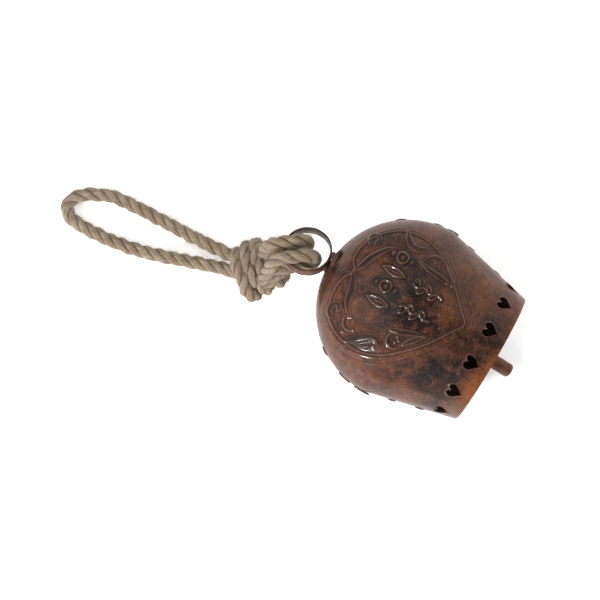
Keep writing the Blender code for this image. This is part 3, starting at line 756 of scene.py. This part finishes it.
def make_shell(sizes, colours, front):
    """One half: outer skin with its relief, plain inner skin, and the edges between them."""
    name = "front_half" if front else "back_half"
    node = "front_shell" if front else "back_shell"
    straight, domed, columns, step = (116, 156, 320, 4) if front else (60, 80, 160, 4)
    turns = np.linspace(0, math.pi / 2, domed + 1)
    heights = np.concatenate([np.linspace(0, BELLY_HEIGHT, straight + 1)[:-1],
                              BELLY_HEIGHT + CROWN_RISE * np.sin(turns)[:-1]])
    even = np.linspace(-1, 1, columns + 1)
    angles = math.pi / 2 * (0.82 * even + 0.18 * even ** 3)
    points = skin_grid(heights, angles, front)
    normal = outward_normals(points, front)
    fade = smooth_step(np.cos(angles) / 0.25)[None, :] * smooth_step(heights / 0.004)[:, None]
    fade = fade * smooth_step((CROWN_HEIGHT - heights) / 0.0015)[:, None]
    shift = sizes.dents * waviness(points) * fade
    rim = burrs(points) if front else np.zeros(points.shape[:2])
    shift += BURR_HEIGHT * rim
    work = light = dark = field = np.zeros(points.shape[:2])
    spots = np.stack([points[:, :, 1], MOUTH_X - points[:, :, 0]], axis=2).reshape(-1, 2) / MM
    if front:
        work, light, dark, field = (part.reshape(work.shape) for part in relief_mm(spots))
        shift += MM * sizes.relief * work * fade
    outer = points + normal * shift[:, :, None]
    outer[:, :, 2] = np.maximum(outer[:, :, 2], 0)
    inner = skin_grid(heights[::step], angles[::step], front, sizes.sheet)
    inner[:, :, 2] = np.where(np.abs(inner[:, :, 2] - SEAM_Z) < CLEARANCE / 2, SEAM_Z, inner[:, :, 2])

    rows, wide = outer.shape[:2]
    inner_rows, inner_wide = inner.shape[:2]
    sign = 1 if front else -1
    seam_z = SEAM_Z + sign * CLEARANCE / 2
    apex = [(MOUTH_X - CROWN_HEIGHT, 0, seam_z), (MOUTH_X - CROWN_HEIGHT + sizes.sheet, 0, seam_z)]
    vertices = np.vstack([outer.reshape(-1, 3), inner.reshape(-1, 3), np.array(apex)])
    start = rows * wide
    top, inner_top = len(vertices) - 2, len(vertices) - 1

    def out(row, column):
        return row * wide + column

    def within(row, column):
        return start + row * inner_wide + column

    faces = [(out(r, c), out(r, c + 1), out(r + 1, c + 1), out(r + 1, c))
             for r in range(rows - 1) for c in range(wide - 1)]
    faces += [(out(rows - 1, c), out(rows - 1, c + 1), top) for c in range(wide - 1)]
    faces += [(within(r, c + 1), within(r, c), within(r + 1, c), within(r + 1, c + 1))
              for r in range(inner_rows - 1) for c in range(inner_wide - 1)]
    faces += [(within(inner_rows - 1, c + 1), within(inner_rows - 1, c), inner_top)
              for c in range(inner_wide - 1)]
    for c in range(inner_wide - 1):
        edge = [out(0, step * c + k) for k in range(step + 1)]
        faces.append((*edge[::-1], within(0, c), within(0, c + 1)))
    for r in range(inner_rows):
        last = r == inner_rows - 1
        reach = list(range(step * r, min(step * r + step, rows - 1) + 1))
        for column, inner_column, turned in ((0, 0, False), (wide - 1, inner_wide - 1, True)):
            edge = [out(k, column) for k in reach]
            near_end = within(r, inner_column)
            if last:
                loop = [*edge, top, inner_top, near_end]
            else:
                loop = [*edge, within(r + 1, inner_column), near_end]
            faces.append(tuple(loop[::-1] if turned else loop))

    item = new_object(name, vertices.tolist(), faces, finish("rusty_sheet_finish", rusty_sheet, colours), None,
                      SHARP_EDGE)
    # the inner skin's finish is painted shade over dark rust
    item.data.materials.append(finish("inner_skin_shade_finish", shaded_inner_sheet))
    outside = (rows - 1) * (wide - 1) + wide - 1
    for k in range(outside, outside + inner_rows * (inner_wide - 1)):
        item.data.polygons[k].material_index = 1
    # painted highlight: the relief's light lines and the burr rims round the hearts
    painted_highlight = np.maximum(light, 0.7 * rim)
    # painted shade: the relief's dark lines and the recesses lower than their surroundings
    painted_shade = np.maximum(dark, 0.5 * np.clip((blurred(work, 4) - work) / 0.4, 0, 1))
    if front:
        soot, fresh = blobs(spots, SOOT_MM), blobs(spots, FRESH_MM)
    else:
        soot = blobs(spots * [-1, 1], SOOT_MM[3:]) * 0.8
        fresh = blobs(spots * [-1, 1], FRESH_MM)
    edge_rust = 0.8 * np.exp(-((heights / 0.0022) ** 2))[:, None] * np.ones(wide)[None, :]
    fresh = np.clip(fresh + edge_rust.reshape(-1), 0, 1)
    plain = np.zeros(len(vertices) - start)
    layers = {"field": field, "painted_highlight": painted_highlight, "painted_shade": painted_shade, "soot": soot, "fresh": fresh}
    for layer, grid in layers.items():
        give_values(item.data, layer, np.concatenate([grid.reshape(-1), plain]))
    if front:
        cut_away(item, heart_punches())
    item.data.shade_smooth()
    item.data.set_sharp_from_angle(angle=math.radians(SHARP_EDGE))
    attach(item, "bell")
    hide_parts(node)


# --- ring

def ring_frame():
    """Axes of the ring: towards the crown, across it, and out of its face."""
    turn = Matrix.Rotation(-RING_DROOP, 3, "Y") @ Matrix.Rotation(-RING_LEAN, 3, "X")
    axis = turn @ Vector((0, 0, 1))
    toward = Vector((1, 0, 0))
    toward = (toward - axis * toward.dot(axis)).normalized()
    return Matrix((toward, axis.cross(toward), axis)).transposed()


def ring_centre():
    """Middle of the ring, whose band touches the crown."""
    toward = ring_frame().col[0]
    touch = Vector((MOUTH_X - CROWN_HEIGHT - 0.0004, RING_SIDE, SEAM_Z))
    return touch - toward * RING_RADIUS


def make_ring():
    """The flat band with rounded edges and slight waves; brown outside, grey inside."""
    axes, centre = ring_frame(), ring_centre()
    inner, half, soft, count = RING_RADIUS - RING_THICK, RING_WIDE / 2, BAND_EDGE, BAND_STEPS
    section = []
    for r, h, start in ((RING_RADIUS - soft, half - soft, 0), (inner + soft, half - soft, 90),
                        (inner + soft, -half + soft, 180), (RING_RADIUS - soft, -half + soft, 270)):
        for step in (0, 30, 60, 90):
            t = math.radians(start + step)
            section.append((r + soft * math.cos(t), h + soft * math.sin(t)))
    vertices = []
    for k in range(count):
        t = 2 * math.pi * k / count
        for r, h in section:
            wave = 0.00012 * math.sin(5 * t + 1) + 0.00008 * math.sin(9 * t)
            reach = r - abs(wave)
            vertices.append(centre + axes @ Vector((reach * math.cos(t), reach * math.sin(t), h)))
    size = len(section)
    faces = []
    for k in range(count):
        here, there = k * size, (k + 1) % count * size
        faces += [(here + s, here + (s + 1) % size, there + (s + 1) % size, there + s) for s in range(size)]
    item = new_object("ring_band", vertices, faces, steel("ring_outside"), "bell", 60)
    item.data.materials.append(steel("ring_inside"))
    axis = axes.col[2]
    for face in item.data.polygons:
        offset = face.center - centre
        radial = (offset - axis * offset.dot(axis)).normalized()
        if face.normal.dot(radial) < -0.5:
            face.material_index = 1
    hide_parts("hanger_ring")


# --- rope

def hinge():
    """Where the rope hangs on the band, and axes there: into the ring, along the band, out of its face."""
    axis = ring_frame().col[2]
    left = Vector((-math.cos(ROPE_SIDE), -math.sin(ROPE_SIDE), 0))
    left = (left - axis * left.dot(axis)).normalized()
    point = ring_centre() + left * (RING_RADIUS - RING_THICK / 2)
    return point, Matrix((-left, axis.cross(-left), axis)).transposed()


def bight(reach, tip, over, under):
    """Over the band, down through the ring and back under it; tip, over and under are places along the band."""
    top = [(x, side, z) for (x, z), side in zip(
        ((-0.0190, -0.0270), (-0.0172, -0.0190), (-0.0152, -0.0100), (-0.0125, -0.0010), (-0.0088, 0.0084),
         (-0.0010, BEND + 0.0002)), over)]
    turn = []
    for step in range(7):
        t = math.radians(30 * step)
        side = over[-1] + (tip - over[-1]) * min(1, step / 3)
        turn.append((reach + BEND * math.sin(t), side, BEND * math.cos(t)))
    low = [(-0.0005, tip, -BEND - 0.0009), (-0.0050, 0.5 * (tip + under), -0.0150),
           (-0.0085, under, -0.0200), (-0.0115, under, -0.0260), (-0.0140, under, -0.0320)]
    point, axes = hinge()
    return [point + axes @ Vector(p) for p in top + turn + low]


def rope_route():
    """The whole rope: tucked end, lower turn, hand loop, upper turn, three wraps and the end curl."""
    turn = Matrix.Rotation(KNOT_AXIS_ANGLE, 3, "Z")
    wraps = [KNOT_CENTRE + turn @ (Vector(p) * MM) for p in WRAPS_MM]
    upper = bight(0.0098, 0.0074, (0.0070, 0.0080, 0.0088, 0.0080, 0.0058, 0.0048), 0.0050)
    lower = bight(0.0133, -0.0072, (-0.0105, -0.0108, -0.0110, -0.0110, -0.0104, -0.0092), -0.0090)
    tucked = [KNOT_CENTRE + turn @ (Vector(p) * MM) for p in ((-6.0, 2.0, 13.0), (-1.0, -3.0, 12.5))]
    loop = [Vector(p) * MM for p in HAND_LOOP_MM]
    return tucked + lower[::-1] + loop[::-1] + upper + wraps


def rope_rings(route, sizes, sides=36):
    """Sweep the three-strand section along the route."""
    radius = sizes.diameter / 2
    offset, strand = STRAND_OFFSET * radius, STRAND_RADIUS * radius
    route = np.array(route)
    along = np.gradient(route, axis=0)
    along /= np.linalg.norm(along, axis=1, keepdims=True)
    run = np.concatenate([[0], np.cumsum(np.linalg.norm(np.diff(route, axis=0), axis=1))])
    side = np.array(Vector(along[0]).orthogonal().normalized())
    rng = np.random.default_rng(7)
    phases = rng.uniform(0, 6.28, (3, 3))
    rings, across, lengths, groove = [], [], [], []
    turns = 2 * math.pi * np.arange(sides) / sides
    for point, way, walked in zip(route, along, run):
        side = side - way * (side @ way)
        side /= np.linalg.norm(side)
        other = np.cross(way, side)
        twist = 2 * math.pi * walked / sizes.lay
        local = (turns - twist + math.pi / 3) % (2 * math.pi / 3) - math.pi / 3
        which = (turns - twist + math.pi / 3) % (2 * math.pi)
        which = np.floor(which / (2 * math.pi / 3)).astype(int) % 3
        reach = offset * np.cos(local) + np.sqrt(np.maximum(strand ** 2 - (offset * np.sin(local)) ** 2, 0))
        swell = 0.035 * np.sin(170 * walked + phases[which, 0])
        swell += 0.025 * np.sin(410 * walked + phases[which, 1])
        reach = reach * (1.01 + swell)
        strand_turn = np.arctan2(reach * np.sin(local), reach * np.cos(local) - offset)
        yarns = 0.00018 * np.cos(6 * strand_turn + 2 * math.pi * walked / 0.011)
        reach = reach + yarns
        ring = point + reach[:, None] * (np.cos(turns)[:, None] * side + np.sin(turns)[:, None] * other)
        rings.append(ring)
        across.append(strand_turn * strand / MM + 3.2 * walked / MM * 0.35 + 40 * which)
        lengths.append(np.full(sides, walked / MM))
        # the grooves between the strands, which carry painted shade in the jute finish
        groove.append(smooth_step((np.abs(local) - 0.62) / 0.40))
    return np.array(rings), np.array(across), np.array(lengths), np.array(groove), run


def make_rope(sizes, colours):
    """The rope with its loose fibres."""
    route = smooth_route(rope_route(), ROPE_STEP)
    rings, across, lengths, groove, run = rope_rings(route, sizes)
    count, sides = rings.shape[:2]
    rings[:, :, 2] = np.maximum(rings[:, :, 2], FLOOR_GAP)
    vertices = [tuple(p) for p in rings.reshape(-1, 3)] + [tuple(route[0]), tuple(route[-1])]
    pairs = [(s, (s + 1) % sides) for s in range(sides)]
    faces = [(row + a, row + b, row + sides + b, row + sides + a)
             for row in range(0, (count - 1) * sides, sides) for a, b in pairs]
    faces += [(a, b, count * sides) for a, b in pairs]
    last = (count - 1) * sides
    faces += [(last + a, last + b, count * sides + 1) for a, b in pairs]
    item = new_object("rope", vertices, faces, finish("jute_finish", jute, colours), "lanyard", 80)
    for name, grid in (("yarn_across", across), ("yarn_along", lengths), ("groove", groove)):
        give_values(item.data, name, np.concatenate([grid.reshape(-1), [0, 0]]))
    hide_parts("rope_loop", "rope_knot", "rope_bight_upper", "rope_bight_lower")
    fuzz = make_fuzz(sizes, rings)


def make_fuzz(sizes, rings):
    """Loose fibres that stand off the rope."""
    rng = np.random.default_rng(11)
    count, sides = rings.shape[:2]
    middle = rings.mean(axis=1)
    ring_point = np.array(ring_centre())
    vertices, faces = [], []
    for _ in range(sizes.fibres):
        row, column = rng.integers(3, count - 4), rng.integers(0, sides)
        root = rings[row, column]
        if abs(np.linalg.norm(root - ring_point) - RING_RADIUS) < RING_BARE:
            continue
        outward = root - middle[row]
        outward /= np.linalg.norm(outward)
        ahead = middle[min(row + 3, count - 1)] - middle[row]
        ahead /= np.linalg.norm(ahead)
        around = np.cross(ahead, outward)
        way = ahead * rng.choice([-1, 1]) * rng.uniform(0.5, 1) + around * rng.normal(0, 0.5)
        way += outward * rng.uniform(0.1, 1.0) * (2.5 if rng.uniform() < 0.15 else 0.7)
        way /= np.linalg.norm(way)
        length = sizes.fibre_length * rng.uniform(0.35, 1.15)
        if rng.uniform() < 0.08:
            length *= 1.7
        bend = (outward * rng.normal(0.0, 0.5) + around * rng.normal(0, 0.6)) * 0.9
        thick = rng.uniform(*FIBRE_THICK)
        start = len(vertices)
        place = root - outward * 0.0004
        for k in range(FIBRE_STEPS + 1):
            heading = way + bend * k / FIBRE_STEPS
            heading /= np.linalg.norm(heading)
            across = np.cross(heading, outward + 0.01 * around)
            across /= np.linalg.norm(across)
            lift = np.cross(across, heading)
            taper = thick * (1 - 0.75 * k / FIBRE_STEPS)
            for t in FIBRE_CORNERS:
                spot = place + taper * (math.cos(t) * across + math.sin(t) * lift)
                vertices.append((spot[0], spot[1], max(spot[2], FLOOR_GAP)))
            place = place + heading * length / FIBRE_STEPS
        for k in range(FIBRE_STEPS):
            for s in range(3):
                a, b = start + 3 * k + s, start + 3 * k + (s + 1) % 3
                faces.append((a, b, b + 3, a + 3))
        faces += [(start + 2, start + 1, start), tuple(start + 3 * FIBRE_STEPS + s for s in range(3))]
    item = new_object("rope_fibres", vertices, faces, finish("loose_fibre_finish", loose_fibre), "lanyard", 80)
    return item


def give_finish(kind, *nodes):
    """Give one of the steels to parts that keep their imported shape."""
    for name in nodes:
        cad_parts[name].data.materials[0] = steel(kind)


# --- operators

class DINNER_BELL_OT_stage(bpy.types.Operator):
    """Lay the floor, set the lights and place the camera"""

    bl_idname = "dinner_bell.stage"
    bl_label = "Stage"

    def execute(self, context):
        scene = context.scene
        scene.view_settings.view_transform = "Standard"
        floor = new_object("floor", [(-4, -4, 0), (4, -4, 0), (4, 4, 0), (-4, 4, 0)], [(0, 1, 2, 3)],
                           finish("floor_finish", pale_floor), None)

        world = bpy.data.worlds.new("studio")
        world.use_nodes = True
        scene.world = world
        tree = world.node_tree
        sky = tree.nodes["Background"]
        coordinates = tree.nodes.new("ShaderNodeTexCoord")
        parts = tree.nodes.new("ShaderNodeSeparateXYZ")
        fall = tree.nodes.new("ShaderNodeMapRange")
        tree.links.new(coordinates.outputs["Generated"], parts.inputs[0])
        tree.links.new(parts.outputs["Z"], fall.inputs[0])
        for socket, value in zip(fall.inputs[1:5], SKY_FALL):
            socket.default_value = value
        tree.links.new(fall.outputs[0], sky.inputs["Strength"])
        sky.inputs["Color"].default_value = (1, 1, 1, 1)

        for name, (place, size, power) in LAMPS.items():
            light = bpy.data.lights.new(name, "AREA")
            light.size, light.energy = size, power
            lamp = bpy.data.objects.new(name, light)
            lamp.location = place
            lamp.rotation_euler = (LAMPS_AIM - Vector(place)).to_track_quat("-Z", "Y").to_euler()
            scene.collection.objects.link(lamp)

        back = CAMERA_BACK.normalized()
        right = (CAMERA_RIGHT - back * CAMERA_RIGHT.dot(back)).normalized()
        camera = bpy.data.cameras.new("camera")
        camera.sensor_width = SENSOR
        camera.lens = SENSOR / 2 / math.tan(HALF_VIEW)
        camera.clip_start = 0.05
        item = bpy.data.objects.new("camera", camera)
        axes = Matrix((right, back.cross(right), back)).transposed().to_4x4()
        item.matrix_world = Matrix.Translation(CAMERA_AIM + back * CAMERA_DISTANCE) @ axes
        scene.collection.objects.link(item)
        scene.camera = item
        return {"FINISHED"}


class DINNER_BELL_OT_rope(bpy.types.Operator):
    """Lay the three-strand rope with its knot, hand loop and loose fibres"""

    bl_idname = "dinner_bell.rope"
    bl_label = "Rope"

    def execute(self, context):
        make_rope(context.scene.bell_rope, context.scene.bell_colours)
        return {"FINISHED"}


class DINNER_BELL_OT_shells(bpy.types.Operator):
    """Press both halves of the bell, emboss the front and punch the hearts"""

    bl_idname = "dinner_bell.shells"
    bl_label = "Shells"

    def execute(self, context):
        for front in (True, False):
            make_shell(context.scene.bell_sizes, context.scene.bell_colours, front)
        return {"FINISHED"}


class DINNER_BELL_OT_ring(bpy.types.Operator):
    """Bend the ring's band and finish its welds and the tab"""

    bl_idname = "dinner_bell.ring"
    bl_label = "Ring"

    def execute(self, context):
        make_ring()
        give_finish("weld_metal", "ring_weld_left", "ring_weld_right")
        give_finish("tab", "staple_tab")
        return {"FINISHED"}


class DINNER_BELL_OT_welds(bpy.types.Operator):
    """Finish the lumps of weld along both seams"""

    bl_idname = "dinner_bell.welds"
    bl_label = "Seam welds"

    def execute(self, context):
        give_finish("weld_metal", *(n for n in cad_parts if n.startswith(("seam_weld", "staple_weld"))))
        return {"FINISHED"}


class DINNER_BELL_OT_clapper(bpy.types.Operator):
    """Finish the clapper rod, its link and its staple"""

    bl_idname = "dinner_bell.clapper"
    bl_label = "Clapper"

    def execute(self, context):
        give_finish("clapper_steel", "clapper_rod")
        give_finish("dark_steel", "clapper_link", "clapper_staple")
        return {"FINISHED"}


class DINNER_BELL_PT_panel(bpy.types.Panel):
    """Lists the bell's steps and sizes"""

    bl_idname = "DINNER_BELL_PT_panel"
    bl_label = "Dinner Bell"
    bl_space_type = "VIEW_3D"
    bl_region_type = "UI"
    bl_category = "Dinner Bell"

    def draw(self, context):
        for step in STEPS:
            self.layout.operator(step.bl_idname)
        for group in (context.scene.bell_sizes, context.scene.bell_rope, context.scene.bell_colours):
            for name in group.__annotations__:
                self.layout.prop(group, name)


STEPS = (DINNER_BELL_OT_stage, DINNER_BELL_OT_rope, DINNER_BELL_OT_shells, DINNER_BELL_OT_ring,
         DINNER_BELL_OT_welds, DINNER_BELL_OT_clapper)
GROUPS = {"bell_sizes": BellSizes, "bell_rope": RopeSizes, "bell_colours": BellColours}
CLASSES = (*GROUPS.values(), *STEPS, DINNER_BELL_PT_panel)


def register():
    for item in CLASSES:
        bpy.utils.register_class(item)
    for name, group in GROUPS.items():
        setattr(bpy.types.Scene, name, bpy.props.PointerProperty(type=group))


def unregister():
    for name in GROUPS:
        delattr(bpy.types.Scene, name)
    for item in reversed(CLASSES):
        bpy.utils.unregister_class(item)


def main():
    """Build everything in order."""
    register()
    bpy.ops.dinner_bell.stage()
    bpy.ops.dinner_bell.rope()
    bpy.ops.dinner_bell.shells()
    bpy.ops.dinner_bell.ring()
    bpy.ops.dinner_bell.welds()
    bpy.ops.dinner_bell.clapper()
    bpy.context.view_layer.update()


if __name__ == "__main__":
    main()
